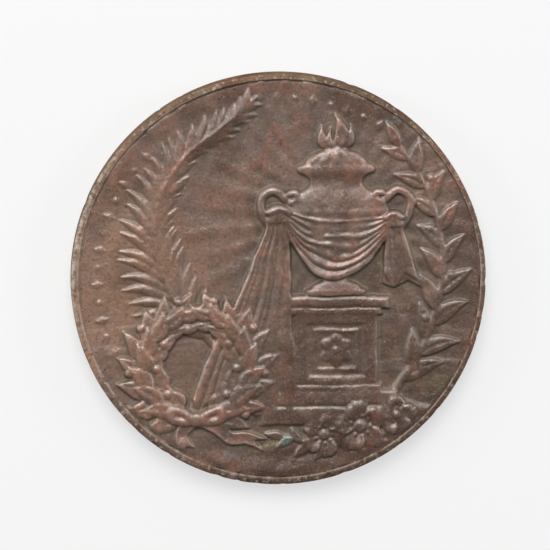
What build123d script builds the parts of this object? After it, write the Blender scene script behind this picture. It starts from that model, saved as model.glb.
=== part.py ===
from build123d import *
import os
from math import cos, radians, sin, sqrt

# A commemorative medal: one struck bronze disc. Its obverse, facing +Z, carries a relief of a draped urn
# on a plinth, between a palm frond, a laurel wreath with a bow, a laurel sprig and poppies. Its reverse,
# facing -Z, is a plain field inside a raised rim. +Y is up as the design is read. The origin is the
# centre of the disc, in the plane that the reverse rim rests on. Lengths are in millimetres.

# Flan
diameter = 60.0
edge_thickness = 3.8
edge_rounding = 0.2
rim_width = 0.33
rim_height = 0.4
rim_slope = 0.12
reverse_rim_width = 0.9
reverse_rim_height = 0.35
reverse_rim_slope = 0.4

# How far each raised piece stands above the field, and how deep it is rooted in the flan
root = 0.6
hill_rise = 0.14
ground_rise = 0.3
palm_rise = 0.42
sprig_rise = 0.5
plinth_rise = 0.62
course_bevel = 0.16
panel_depth = 0.12
urn_side_rise = 0.5
urn_crown = 0.9
flame_rise = 0.85
handle_rise = 0.85
handle_thickness = 1.1
handle_bevel = 0.25
cloth_rise = 0.66
swag_rise = 0.86
swag_belly = 0.37
fold_swell = 0.26
knot_rise = 1.5
wreath_rise = 0.95
wreath_leaf_rise = 1.35
berry_rise = 1.3
berry_diameter = 1.15
bow_rise = 1.55
ribbon_rise = 0.9
ribbon_width = 1.7
poppy_rise = 0.8
stem_thickness = 0.7

# The relief is laid out in shares of the field's radius, across and up from the centre
field_radius = diameter / 2 - edge_rounding - rim_width - rim_slope
field_level = edge_thickness - rim_height
FACING = (0, 0, 1)
ACROSS = (1, 0, 0)
TOWARDS_FOOT = (0, -1, 0)
TOWARDS_LEFT = (-1, 0, 0)

# Outlines of a blade: share along it, share of its half width; then where its ridge starts and ends
LAUREL_BLADE = ((0.0, 0.0), (0.25, 0.95), (0.62, 0.95), (1.0, 0.0))
PALM_BLADE = ((0.0, 0.0), (0.36, 1.0), (1.0, 0.0))
ridge_start = 0.12
ridge_end = 0.84
blade_slope = 0.35
# An oval pad: its corners, then the share of its height that is upright, its shoulder and its flat top
oval_corners = 12
oval_wall, oval_shoulder, oval_top = 0.5, 0.9, 0.5

# Skylines: height of the line, then share and waves of its two swells
HILL_LINE = (-0.36, 0.05, 2.6, 2.9)
GROUND_LINE = (-0.63, 0.035, 4.0, 0.5)
skyline_points = 9

# Palm frond: foot, middle and tip of its midrib, pairs of leaflets
PALM_MIDRIB = ((-0.30, -0.36), (-0.625, 0.23), (-0.22, 0.82))
palm_pairs = 17
leaflet_width = 0.05
leaflet_length_foot, leaflet_length_tip = 0.33, 0.15
leaflet_angle_foot, leaflet_angle_tip = 44, 20
# Where the first leaf leaves any stem, and how much shorter the leaflets at the frond's foot are
first_leaf = 0.06
foot_leaflet, foot_growth = 0.7, 1.3

# Laurel sprig: foot, middle and tip of its stem
SPRIG_STEM = ((0.56, -0.60), (0.815, 0.05), (0.60, 0.66))
sprig_leaves = 17
sprig_leaf_length, sprig_leaf_width = 0.21, 0.085
sprig_leaf_angle = 38
tip_shrink = 0.3
stem_share = 0.7

# Plinth, from its foot up. Courses: left and right of the axis, lower and upper edge, share of the rise
plinth_axis = 0.30
COURSES = (
    (-0.40, 0.36, -0.74, -0.64, 1.32),
    (-0.33, 0.29, -0.645, -0.565, 1.20),
    (-0.25, 0.21, -0.575, -0.535, 1.10),
    (-0.25, 0.21, -0.185, -0.145, 1.18),
    (-0.285, 0.245, -0.15, -0.085, 1.36),
)
DIE = (-0.23, 0.19, -0.54, -0.16)
panel_margin = 0.055
panel_border = 0.04

# Urn. Stations from the foot to the lid: place up the field, half width
urn_axis = 0.28
URN = (
    (-0.085, 0.154),
    (-0.055, 0.154),
    (-0.015, 0.070),
    (0.035, 0.052),
    (0.060, 0.072),
    (0.110, 0.165),
    (0.190, 0.234),
    (0.310, 0.264),
    (0.350, 0.271),
    (0.400, 0.234),
    (0.450, 0.154),
    (0.475, 0.131),
    (0.500, 0.131),
    (0.550, 0.196),
    (0.575, 0.160),
    (0.630, 0.108),
    (0.670, 0.030),
)
# Flames: sideways from the axis, heading, length, width
FLAMES = ((0.0, 92, 0.15, 0.062), (-0.02, 112, 0.11, 0.05), (0.022, 70, 0.11, 0.05))
flame_foot = 0.655
# Handle: where it leaves the bowl, the top and outside of its bend, where it comes back
HANDLE = ((0.215, 0.380), (0.300, 0.440), (0.365, 0.370), (0.215, 0.195))

# Cloth over the urn. Knots: across, up, half length, half width
LEFT_KNOT = (-0.005, 0.345, 0.050, 0.042)
RIGHT_KNOT = (0.565, 0.315, 0.045, 0.038)
SWAG_STATIONS = (0.0, 0.14, 0.32, 0.5, 0.68, 0.86, 1.0)
SWAG_SAGS = (0.045, 0.09, 0.14, 0.19, 0.24, 0.285, 0.325)
gather = 0.011
# Long fall left of the plinth: place up the field, left and right edge, share of the cloth's rise
FALL = (
    (0.345, -0.045, 0.035, 1.30),
    (0.120, -0.125, 0.060, 1.22),
    (-0.160, -0.240, 0.065, 1.16),
    (-0.420, -0.375, 0.075, 1.08),
    (-0.660, -0.455, 0.090, 1.0),
)
FALL_FOLDS = (0.0, 0.13, 0.31, 0.48, 0.66, 0.82, 1.0)
# Short end at the right handle, with the same columns
SHORT_END = ((0.315, 0.530, 0.600, 1.0), (0.170, 0.522, 0.640, 0.92), (-0.020, 0.512, 0.700, 0.85))
SHORT_FOLDS = (0.0, 0.35, 0.66, 1.0)

# Wreath
WREATH_CENTRE = (-0.415, -0.44)
wreath_ring = 0.265
wreath_half_width = 0.05
wreath_clusters = 6
# Rows of leaves: out from the ring, turn away from it, length, width, share of the leaves' rise
WREATH_ROWS = ((0.02, 36, 0.175, 0.078, 0.78), (-0.02, -36, 0.150, 0.072, 0.78), (0.0, 2, 0.185, 0.080, 1.0))
wreath_start, wreath_end = 4, 164
berry_offset, berry_turn = 0.085, 10

# Bow under the wreath
BOW_CENTRE = (-0.415, -0.705)
BOW_LOOP = (0.075, 0.015, 0.085, 0.045, 18)
BOW_KNOT = (0.040, 0.036)
# Ribbon ends: start, middle and tip, from the centre of the bow
RIBBON_ENDS = (((0, 0), (-0.070, -0.060), (-0.020, -0.160)), ((0, 0), (0.150, -0.070), (0.330, -0.125)))

# Poppies: across, up, radius; and the sprigs under them: foot, middle, tip
POPPIES = ((0.235, -0.785, 0.085), (0.40, -0.745, 0.095), (0.555, -0.715, 0.070))
POPPY_SPRIGS = (
    ((0.34, -0.83), (0.18, -0.835), (0.02, -0.80)),
    ((0.34, -0.85), (0.50, -0.80), (0.62, -0.70)),
)
poppy_leaves = 5
poppy_leaf_length, poppy_leaf_width = 0.13, 0.058
# Petals: how many in each of two layers, and their offset, size and step as shares of the flower
petals = 2
petal_offset, petal_size, petal_step = 0.42, 0.66, 0.15
heart_size, heart_rise = 0.3, 1.4


def on_field(spot, heading=0.0):
    """The plane of the field at a spot in millimetres, with its X along the heading."""
    turn = radians(heading)
    return Plane(origin=(spot[0], spot[1], field_level), x_dir=(cos(turn), sin(turn), 0), z_dir=FACING)


def scaled(*spots):
    """Spots given in shares of the field's radius, in millimetres."""
    return [(across * field_radius, up * field_radius) for across, up in spots]


def hull(plane, corners):
    """The faceted solid round a set of corners that are given on a plane."""
    with BuildPart() as form:
        ConvexPolyhedron([tuple(plane.from_local_coords(corner)) for corner in corners])
    return form.part


def blade(spot, heading, length, width, rise, outline=LAUREL_BLADE):
    """One pointed leaf: upright edges and a low roof."""
    long = length * field_radius
    half = width * field_radius / 2
    eaves = rise - min(blade_slope, rise / 2)
    corners = [(long * ridge_start, 0, rise), (long * ridge_end, 0, rise)]
    for along, side in outline:
        for level in (-root, eaves):
            corners.append((long * along, half * side, level))
            corners.append((long * along, -half * side, level))
    return hull(on_field(spot, heading), sorted(set(corners)))


def pad(spot, heading, half_length, half_width, rise):
    """A low faceted dome on an oval."""
    corners = []
    levels = (-root, rise * oval_wall, rise * oval_shoulder, rise)
    for level, share in zip(levels, (1, 1, (1 + oval_top) / 2, oval_top)):
        for step in range(oval_corners):
            turn = radians(360 * step / oval_corners)
            corners.append((half_length * share * cos(turn), half_width * share * sin(turn), level))
    return hull(on_field(spot, heading), corners)


def stem(path, width, rise):
    """A flat-topped stem or ribbon along an arc through three spots."""
    with BuildPart() as strip:
        with BuildSketch(Plane.XY.offset(field_level - root)):
            with BuildLine():
                ThreePointArc(*path)
            trace(line_width=width)
        extrude(amount=root + rise)
    return strip.part


def berry(spot):
    """A round berry on its own short post."""
    radius = berry_diameter / 2
    with BuildPart() as fruit:
        with BuildSketch(on_field(spot).offset(-root)):
            Circle(radius)
        extrude(amount=root + berry_rise - radius)
        with Locations((spot[0], spot[1], field_level + berry_rise - radius)):
            Sphere(radius)
    return fruit.part


def bank(skyline, rise):
    """Ground that fills the foot of the field up to a wavy skyline."""
    middle, swell, waves, phase = skyline
    reach = field_radius + rim_slope
    shares = [2 * step / (skyline_points - 1) - 1 for step in range(skyline_points)]
    line = [(reach * share, field_radius * (middle + swell * sin(waves * share + phase))) for share in shares]
    with BuildPart() as slab:
        with BuildSketch(Plane.XY.offset(field_level - root)):
            Circle(reach)
            with BuildLine():
                Spline(*line)
                Polyline(line[-1], (reach, -reach), (-reach, -reach), line[0])
            make_face(mode=Mode.INTERSECT)
        extrude(amount=root + rise)
    return slab.part


def palm_frond():
    """A midrib with pairs of narrow leaflets."""
    path = scaled(*PALM_MIDRIB)
    midrib = ThreePointArc(*path)
    pieces = [stem(path, stem_thickness, palm_rise)]
    for pair in range(palm_pairs):
        share = first_leaf + (1 - first_leaf) * pair / (palm_pairs - 1)
        spot = midrib @ share
        way = (midrib % share).get_signed_angle(Vector(ACROSS), Vector(0, 0, -1))
        grown = min(1.0, foot_leaflet + foot_growth * share)
        length = grown * (leaflet_length_foot + (leaflet_length_tip - leaflet_length_foot) * share)
        angle = leaflet_angle_foot + (leaflet_angle_tip - leaflet_angle_foot) * share
        for side in (1, -1):
            heading = way + side * angle
            pieces.append(blade((spot.X, spot.Y), heading, length, leaflet_width, palm_rise, PALM_BLADE))
    return pieces


def leafy_stem(shape, leaves, length, width, angle, rise):
    """A stem with leaves in turn on its two sides and one at its tip."""
    path = scaled(*shape)
    axis = ThreePointArc(*path)
    pieces = [stem(path, stem_thickness, rise * stem_share)]
    for count in range(leaves):
        share = first_leaf + (1 - first_leaf) * count / (leaves - 1)
        spot = axis @ share
        way = (axis % share).get_signed_angle(Vector(ACROSS), Vector(0, 0, -1))
        side = (-1) ** count if count < leaves - 1 else 0
        size = 1 - tip_shrink * share
        pieces.append(blade((spot.X, spot.Y), way + side * angle, length * size, width * size, rise))
    return pieces


def course(left, right, low, high, rise):
    """One dressed course of the plinth."""
    corners = scaled((plinth_axis + left, low), (plinth_axis + right, high))
    (west, south), (east, north) = corners
    with BuildPart() as block:
        with BuildSketch(on_field(((west + east) / 2, (south + north) / 2)).offset(-root)):
            Rectangle(east - west, north - south)
        extrude(amount=root + rise)
        chamfer(block.faces().sort_by(Axis.Z)[-1].edges(), length=course_bevel)
    return block.part


def die():
    """The plinth's die, with a sunk border round a plain panel."""
    (west, south), (east, north) = scaled((plinth_axis + DIE[0], DIE[2]), (plinth_axis + DIE[1], DIE[3]))
    margin = panel_margin * field_radius
    border = panel_border * field_radius
    wide, tall = east - west - 2 * margin, north - south - 2 * margin
    with BuildPart() as block:
        add(course(*DIE, plinth_rise))
        with BuildSketch(on_field(((west + east) / 2, (south + north) / 2)).offset(plinth_rise)):
            Rectangle(wide, tall)
            Rectangle(wide - 2 * border, tall - 2 * border, mode=Mode.SUBTRACT)
        extrude(amount=-panel_depth, mode=Mode.SUBTRACT)
    return block.part


def urn():
    """The urn: a lathe form seen from the front, flattened to relief."""
    widest = max(half for _, half in URN)
    with BuildPart() as vase:
        for up, half in URN:
            centre, height = scaled((urn_axis, up))[0]
            reach = half * field_radius
            crown = urn_crown * sqrt(half / widest)
            plane = Plane(origin=(centre, height, field_level), x_dir=ACROSS, z_dir=TOWARDS_FOOT)
            with BuildSketch(plane):
                with BuildLine():
                    Polyline((-reach, urn_side_rise), (-reach, -root), (reach, -root), (reach, urn_side_rise))
                    EllipticalCenterArc((0, urn_side_rise), reach, crown, start_angle=0, arc_size=180)
                make_face()
        loft(ruled=True)
    return vase.part


def flames():
    """The flame on the urn's lid, three tongues."""
    pieces = []
    for aside, heading, length, width in FLAMES:
        spot = scaled((urn_axis + aside, flame_foot))[0]
        pieces.append(blade(spot, heading, length, width, flame_rise))
    return pieces


def handle(side):
    """One bowed handle, with its upper edges bevelled."""
    start, top, outside, end = scaled(*[(urn_axis + side * out, up) for out, up in HANDLE])
    with BuildPart() as bar:
        with BuildSketch(Plane.XY.offset(field_level - root)):
            with BuildLine():
                bend = ThreePointArc(start, top, outside)
                TangentArc(outside, end, tangent=bend % 1)
            trace(line_width=handle_thickness)
        extrude(amount=root + handle_rise)
        chamfer(bar.faces().sort_by(Axis.Z)[-2:].edges().filter_by(GeomType.CIRCLE), length=handle_bevel)
    return bar.part


def cloth(sections):
    """Gathered cloth, lofted through sections: a plane, the valleys between its folds, and its rise."""
    with BuildPart() as drape:
        for plane, valleys, rise in sections:
            with BuildSketch(plane):
                with BuildLine():
                    first, last = valleys[0], valleys[-1]
                    Polyline((first, rise), (first, -root), (last, -root), (last, rise))
                    for near, far in zip(valleys, valleys[1:]):
                        crest = ((near + far) / 2, rise + fold_swell * (far - near))
                        ThreePointArc((near, rise), crest, (far, rise))
                make_face()
        loft(ruled=True)
    return drape.part


def swag():
    """The cloth that hangs across the urn from knot to knot."""
    (left, left_up), (right, right_up) = scaled(LEFT_KNOT[:2], RIGHT_KNOT[:2])
    sections = []
    for share in SWAG_STATIONS:
        hang = 4 * share * (1 - share)
        top = left_up + (right_up - left_up) * share
        plane = Plane(
            origin=(left + (right - left) * share, top, field_level), x_dir=TOWARDS_FOOT, z_dir=TOWARDS_LEFT
        )
        valleys = [field_radius * (sag * hang + gather * number) for number, sag in enumerate(SWAG_SAGS)]
        sections.append((plane, valleys, swag_rise + swag_belly * sqrt(hang)))
    return cloth(sections)


def fall(stations, folds):
    """Cloth that falls straight down in folds."""
    sections = []
    for up, left, right, share in stations:
        (west, height), (east, _) = scaled((left, up), (right, up))
        plane = Plane(origin=(west, height, field_level), x_dir=ACROSS, z_dir=TOWARDS_FOOT)
        sections.append((plane, [(east - west) * fold for fold in folds], cloth_rise * share))
    return cloth(sections)


def knot(shape):
    """Cloth gathered at a handle."""
    across, up, half_length, half_width = shape
    return pad(scaled((across, up))[0], 0, half_length * field_radius, half_width * field_radius, knot_rise)


def wreath():
    """A padded ring with three rows of leaves up each side, and berries."""
    centre = scaled(WREATH_CENTRE)[0]
    ring = wreath_ring * field_radius
    half = wreath_half_width * field_radius
    with BuildPart() as hoop:
        with BuildSketch(Plane(origin=(*centre, field_level), x_dir=ACROSS, z_dir=TOWARDS_FOOT)):
            with Locations((ring, 0)):
                Polygon(
                    (-half, -root),
                    (half, -root),
                    (half, wreath_rise / 2),
                    (half / 2, wreath_rise),
                    (-half / 2, wreath_rise),
                    (-half, wreath_rise / 2),
                    align=None,
                )
        revolve(axis=Axis((*centre, field_level), FACING))
    pieces = [hoop.part]

    def around(out, angle):
        reach = (wreath_ring + out) * field_radius
        return (centre[0] + reach * cos(radians(angle)), centre[1] + reach * sin(radians(angle)))

    for cluster in range(wreath_clusters):
        for side in (1, -1):
            share = cluster / (wreath_clusters - 1)
            angle = -90 + side * (wreath_start + (wreath_end - wreath_start) * share)
            for out, turn, length, width, lift in WREATH_ROWS:
                spot = around(out, angle)
                heading = angle + side * (90 - turn)
                pieces.append(blade(spot, heading, length, width, wreath_leaf_rise * lift))
            if cluster % 2 == 0:
                pieces.append(berry(around(side * berry_offset, angle + side * berry_turn)))
    return pieces


def bow():
    """Two loops, a knot and two ends of ribbon."""
    out, lift, half_length, half_width, tilt = BOW_LOOP
    pieces = [pad(scaled(BOW_CENTRE)[0], 0, *[half * field_radius for half in BOW_KNOT], bow_rise)]
    for side in (1, -1):
        spot = scaled((BOW_CENTRE[0] + side * out, BOW_CENTRE[1] + lift))[0]
        pieces.append(pad(spot, side * tilt, half_length * field_radius, half_width * field_radius, bow_rise))
    for end in RIBBON_ENDS:
        path = scaled(*[(BOW_CENTRE[0] + across, BOW_CENTRE[1] + up) for across, up in end])
        pieces.append(stem(path, ribbon_width, ribbon_rise))
    return pieces


def poppy(across, up, radius):
    """An open flower: four round petals and a domed centre."""
    spot = scaled((across, up))[0]
    size = radius * field_radius
    with BuildPart() as flower:
        for layer in range(2):
            with BuildSketch(on_field(spot, 45 + 90 * layer).offset(-root)):
                with PolarLocations(size * petal_offset, petals):
                    Circle(size * petal_size)
            extrude(amount=root + poppy_rise * (1 + petal_step * layer))
        add(pad(spot, 0, size * heart_size, size * heart_size, poppy_rise * heart_rise))
    return flower.part


# The blank: rim and sunk field on each face
with BuildPart() as flan:
    outer = diameter / 2
    obverse_top = outer - edge_rounding - rim_width
    reverse_foot = outer - edge_rounding - reverse_rim_width
    with BuildSketch(Plane.XZ):
        with BuildLine():
            Polyline(
                (0, field_level),
                (0, reverse_rim_height),
                (reverse_foot - reverse_rim_slope, reverse_rim_height),
                (reverse_foot, 0),
                (outer - edge_rounding, 0),
            )
            RadiusArc((outer - edge_rounding, 0), (outer, edge_rounding), -edge_rounding)
            Line((outer, edge_rounding), (outer, edge_thickness - edge_rounding))
            RadiusArc(
                (outer, edge_thickness - edge_rounding),
                (outer - edge_rounding, edge_thickness),
                -edge_rounding,
            )
            Polyline(
                (outer - edge_rounding, edge_thickness),
                (obverse_top, edge_thickness),
                (field_radius, field_level),
                (0, field_level),
            )
        make_face()
    revolve(axis=Axis.Z)

# The struck medal: the blank with its whole relief, in one solid
with BuildPart() as medal:
    add(flan.part)
    add(
        [
            bank(HILL_LINE, hill_rise),
            bank(GROUND_LINE, ground_rise),
            *palm_frond(),
            *leafy_stem(
                SPRIG_STEM, sprig_leaves, sprig_leaf_length, sprig_leaf_width, sprig_leaf_angle, sprig_rise
            ),
            *[course(*size, share * plinth_rise) for *size, share in COURSES],
            die(),
            urn(),
            *flames(),
            handle(-1),
            handle(1),
            swag(),
            fall(FALL, FALL_FOLDS),
            fall(SHORT_END, SHORT_FOLDS),
            knot(LEFT_KNOT),
            knot(RIGHT_KNOT),
            *wreath(),
            *bow(),
            *[
                piece
                for shape in POPPY_SPRIGS
                for piece in leafy_stem(
                    shape, poppy_leaves, poppy_leaf_length, poppy_leaf_width, sprig_leaf_angle, sprig_rise
                )
            ],
            *[poppy(*flower) for flower in POPPIES],
        ]
    )

medal.part.label = "medal"
os.makedirs("parts", exist_ok=True)
export_step(medal.part, "parts/medal.step")
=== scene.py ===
"""A struck bronze medal with a draped urn on a plinth, a palm frond, a wreath, a laurel sprig and poppies.

The relief is modelled first, as clay on a board: a height above the field for each place, in millimetres,
with places in shares of the field's radius, as in the CAD source. One operator strikes the closed medal
from the board, and one sets the stage.
"""

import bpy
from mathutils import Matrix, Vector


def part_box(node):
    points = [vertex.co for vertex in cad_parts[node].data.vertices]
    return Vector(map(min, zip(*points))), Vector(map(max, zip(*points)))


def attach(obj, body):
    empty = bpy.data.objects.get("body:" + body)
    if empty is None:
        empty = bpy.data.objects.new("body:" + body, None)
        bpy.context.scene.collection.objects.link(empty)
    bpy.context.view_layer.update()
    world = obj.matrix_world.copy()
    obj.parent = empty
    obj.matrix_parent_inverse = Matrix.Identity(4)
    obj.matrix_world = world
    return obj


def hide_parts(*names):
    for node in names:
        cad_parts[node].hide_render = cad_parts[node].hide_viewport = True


bl_info = {
    "name": "Commemorative Medal",
    "version": (1, 0, 0),
    "blender": (4, 5, 0),
    "location": "View3D > Sidebar > Medal",
    "description": "Models, strikes and stages a bronze commemorative medal",
    "category": "Object",
}

import bmesh
import bpy
import numpy as np
from bpy.props import FloatProperty, FloatVectorProperty, IntProperty, PointerProperty
from bpy.types import NodeSocket, Operator, Panel, PropertyGroup, Scene
from mathutils import Matrix, Vector

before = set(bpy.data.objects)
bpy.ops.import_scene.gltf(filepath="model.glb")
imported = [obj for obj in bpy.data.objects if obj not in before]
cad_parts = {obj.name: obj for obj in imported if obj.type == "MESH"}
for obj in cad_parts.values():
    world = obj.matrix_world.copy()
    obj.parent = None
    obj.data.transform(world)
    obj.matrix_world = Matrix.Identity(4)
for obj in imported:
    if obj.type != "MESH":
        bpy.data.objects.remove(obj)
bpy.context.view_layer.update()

# The blank, in millimetres; the design is struck a little off its centre
MM = 0.001
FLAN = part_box("medal")
RADIUS = (FLAN[1].x - FLAN[0].x) / 2 / MM
FIELD_RADIUS = RADIUS - 1.0
FIELD_CENTRE = (0.125, 0.217)
FIELD_LEVEL = 3.4
RIM_LEVEL = 3.8

# The board's steps and reach, the margin of a patch, the waver of the modelling, and the noise's cells
BOARD_STEPS = 1240
REACH = 1.03
MARGIN = 0.012
WAVER = 0.0065
CELLS = 64

# A line of so many points is smooth already
SMOOTH_POINTS = 40

# Rings from the field's edge over the rim, the side and the reverse: share of the rim's width in from the
# edge, distance in from it, level, wear (partly painted highlight) and dirt (partly painted shade)
RIM_RINGS = (
    (0.985, 0, 3.5, 0, 1),
    (0.955, 0, 3.61, 0.1, 1),
    (0.915, 0, 3.72, 0.5, 0.6),
    (0.865, 0, 3.79, 0.9, 0.1),
    (0.8, 0, 3.8, 0.8, 0),
    (0.68, 0, 3.78, 0.3, 0),
    (0.5, 0, 3.73, 0.15, 0.1),
    (0.32, 0, 3.66, 0.15, 0.1),
    (0.16, 0, 3.57, 0.2, 0.1),
    (0.06, 0, 3.46, 0.25, 0.1),
    (0.015, 0, 3.34, 0.25, 0.1),
    (0, 0, 3.18, 0.2, 0.2),
    (0, 0, 1.8, 0.1, 0.2),
    (0, 0, 0.4, 0.2, 0.1),
    (0, 0.04, 0.17, 0.5, 0),
    (0, 0.12, 0.05, 0.5, 0),
    (0, 0.25, 0, 0.5, 0),
    (0, 1.1, 0, 0.5, 0),
    (0, 1.25, 0.05, 0.4, 0.1),
    (0, 1.42, 0.28, 0.1, 0.4),
    (0, 1.55, 0.35, 0, 0.5),
    (0, 15, 0.35, 0.2, 0.3),
)
RIM_TURNS = 1441
OBVERSE_CELLS = 184
FINE_SHARE = 0.42

# Rays, border, palm and sprig
RAY_CENTRE = (0.28, 0.3)
RAYS = 34
BORDER_RADIUS = 0.908
BORDER_DEGREES = (*np.arange(57, 98, 5.6), *np.arange(137, 206, 5.6))
MIDRIB = ((-0.3, -0.36), (-0.535, -0.08), (-0.625, 0.23), (-0.52, 0.56), (-0.22, 0.82))
PAIRS = 25
SPRIG = ((0.56, -0.6), (0.74, -0.3), (0.815, 0.05), (0.76, 0.38), (0.6, 0.66))

# Plinth, urn and cloth, as in the CAD source. Courses: sides from the axis, lower and upper edge, height,
# and the drop and width of the worn edge
PLINTH_AXIS = 0.3
COURSES = (
    (-0.4, 0.36, -0.74, -0.64, 0.93, 0.3, 0.014),
    (-0.33, 0.29, -0.645, -0.565, 0.85, 0.22, 0.012),
    (-0.25, 0.21, -0.575, -0.535, 0.79, 0.2, 0.01),
    (-0.23, 0.19, -0.54, -0.16, 0.71, 0.2, 0.012),
    (-0.25, 0.21, -0.185, -0.145, 0.84, 0.22, 0.01),
    (-0.285, 0.245, -0.15, -0.085, 0.97, 0.28, 0.02),
)
PANEL = (-0.17, 0.13, -0.5, -0.22)

# The urn's half width at each level, its flames and a handle
URN_AXIS = 0.28
URN = (
    ((-0.085, 0.15), (-0.057, 0.152), (-0.052, 0.132), (-0.03, 0.112), (-0.012, 0.07), (0.01, 0.053))
    + ((0.034, 0.053), (0.044, 0.074), (0.056, 0.074), (0.066, 0.062), (0.078, 0.09), (0.11, 0.165))
    + ((0.17, 0.222), (0.24, 0.253), (0.31, 0.264), (0.325, 0.271), (0.35, 0.271), (0.366, 0.26))
    + ((0.4, 0.234), (0.43, 0.19), (0.45, 0.154), (0.475, 0.131), (0.5, 0.131), (0.52, 0.152))
    + ((0.535, 0.188), (0.552, 0.196), (0.566, 0.188), (0.576, 0.16), (0.602, 0.143), (0.632, 0.108))
    + ((0.652, 0.064), (0.668, 0.034))
)
FLAMES = (
    (0.0, 92, 0.165, 0.078, 0.55),
    (-0.02, 116, 0.125, 0.058, 0.46),
    (0.022, 66, 0.125, 0.058, 0.46),
    (-0.006, 102, 0.1, 0.04, 0.62),
    (0.012, 80, 0.085, 0.036, 0.64),
)
HANDLE = (
    ((0.222, 0.383), (0.3, 0.445), (0.366, 0.41), (0.366, 0.33))
    + ((0.318, 0.25), (0.27, 0.212), (0.225, 0.195))
)
SCROLL = ((0.225, 0.385), (0.192, 0.402), (0.198, 0.43), (0.226, 0.432))

# The cloth's two hanging widths: level, left and right edge
LEFT_KNOT = (-0.005, 0.345)
RIGHT_KNOT = (0.565, 0.315)
FALL = (
    (0.345, -0.04, 0.03),
    (0.23, -0.08, 0.045),
    (0.12, -0.125, 0.056),
    (-0.16, -0.24, 0.058),
    (-0.42, -0.375, 0.078),
    (-0.72, -0.48, 0.088),
)
SHORT_END = (
    (0.315, 0.532, 0.598),
    (0.17, 0.52, 0.642),
    (-0.06, 0.508, 0.712),
)
SWAG_FOLDS = (0, 0.105, 0.24, 0.385, 0.53, 0.675, 0.82, 1)
FALL_FOLDS = (0, 0.11, 0.2, 0.37, 0.5, 0.61, 0.82, 1)
END_FOLDS = (0, 0.34, 0.67, 1)
SWAY = 0.026

# Layers of the cloth: width, folds, heights of the ground and the folds with their gain by the bottom, the
# hem's level at each fold's edge, and a seed
UNDER_HEM = (-0.7, -0.655, -0.7, -0.64, -0.7, -0.66, -0.71, -0.69)
UPPER_HEM = (-0.6, -0.685, -0.6, -0.69, -0.615, -0.7, -0.635, -0.66)
CLOTHS = (
    (FALL, FALL_FOLDS, (0.6, -0.3), (0.16, 0.06), UNDER_HEM, 71),
    (FALL, FALL_FOLDS, (0.86, -0.34), (0.4, 0.06), UPPER_HEM, 71),
    (SHORT_END, END_FOLDS, (0.52, -0.05), (0.12, 0.08), (-0.02, -0.045, -0.01, -0.05), 81),
    (SHORT_END, END_FOLDS, (0.7, -0.1), (0.36, 0.14), (0.035, -0.04, 0.03, -0.02), 81),
)

# Wreath, bow and poppies. Leaves of a cluster: offset from the ring, lead, lean, length, width, lift, base
WREATH = (-0.415, -0.44)
RING = 0.265
CLUSTERS = 8
CLUSTER_LEAVES = (
    (0.03, 0, 28, 0.178, 0.086, 0.28, 0.5),
    (-0.03, 0, -30, 0.15, 0.078, 0.28, 0.5),
    (0.0, 3, 2, 0.185, 0.09, 0.36, 0.84),
)
BOW = (-0.415, -0.705)
BOW_ENDS = (
    ((0, 0), (-0.055, -0.045), (-0.075, -0.095), (-0.035, -0.165)),
    ((0, 0), (0.09, -0.04), (0.17, -0.095), (0.25, -0.095), (0.345, -0.13)),
)
RIBBON = 0.032
FLOWER_STEMS = (
    (((0.34, -0.83), (0.18, -0.835), (0.02, -0.8)), 41),
    (((0.34, -0.85), (0.5, -0.8), (0.62, -0.7)), 43),
)
POPPIES = (
    ((0.222, -0.79), 0.112, 0.6, 1),
    ((0.584, -0.69), 0.1, 0.6, 2),
    ((0.402, -0.742), 0.128, 0.78, 3),
)
PETALS = 5
STAMENS = 9

# Widths that the relief is compared over, in millimetres
FINE_WIDTH, BROAD_WIDTH, WIDE_WIDTH = 0.28, 1.1, 2.4

# Clouds in the patina: scale, detail, the levels stretched to 0 and 1, and distortion
CLOUDS = {
    "broad": (95, 4, 0.42, 0.58),
    "patchy": (230, 5, 0.38, 0.62, 0.3),
    "blotch": (420, 5, 0.44, 0.66),
    "hazy": (70, 3, 0.5, 0.66),
    "smoky": (120, 3, 0.47, 0.6),
    "flecks": (1300, 3, 0.48, 0.66),
    "sallow": (950, 3, 0.5, 0.68),
    "speckle": (2600, 3, 0.42, 0.7),
    "grains": (5200, 2, 0.52, 0.74),
    "specks": (3100, 2, 0.6, 0.67),
    "damp": (180, 3, 0.38, 0.6),
    "ragged": (1500, 4, 0.38, 0.58),
    "torn": (2200, 3, 0.42, 0.6, 0.6),
    "brassy": (150, 3, 0.36, 0.54),
    "chips": (1700, 3, 0.55, 0.64),
    "soot": (1300, 4, 0.5, 0.62),
    "scuffs": (700, 4, 0.3, 0.62),
    "pitting": (500, 2, 0.52, 0.62),
}

# Stains: centre, and the distances at which they start to fade and are gone
STAINS = {
    # The lower right stain is partly darker patina and partly painted shade, where less light falls
    "lower_right_shade": ((0.017, -0.025, 0.0038), 0.004, 0.037),
    # The left stain is partly a warmer tint and partly painted light: a lighter patch on the side the light
    # comes from
    "left": ((-0.024, -0.003, 0.0038), 0.004, 0.029),
    "rim_top": ((-0.014, 0.026, 0.0034), 0.012, 0.044),
    # The stain at the left of the rim lays pale colour there: partly wear, partly a painted highlight on the
    # rim's lit edge
    "rim_left_wear_and_highlight": ((-0.0286, 0.007, 0.0034), 0.004, 0.018),
    # The stain at the bottom of the rim is painted shade on the rim's lower side, away from the light
    "rim_bottom_shade": ((0.011, -0.0275, 0.0034), 0.012, 0.038),
    "yellow_spot": ((0.0229, -0.0148, 0.0036), 0.0002, 0.0024),
    "green_spot": ((0.001, -0.0234, 0.0038), 0.0001, 0.0012),
}

# The crust's place, turn and stretch
CRUST = {"Location": (-0.0018, -0.0242, 0.0038), "Rotation": (0, 0, 0.31), "Scale": (6.5, 1, 20)}

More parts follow.
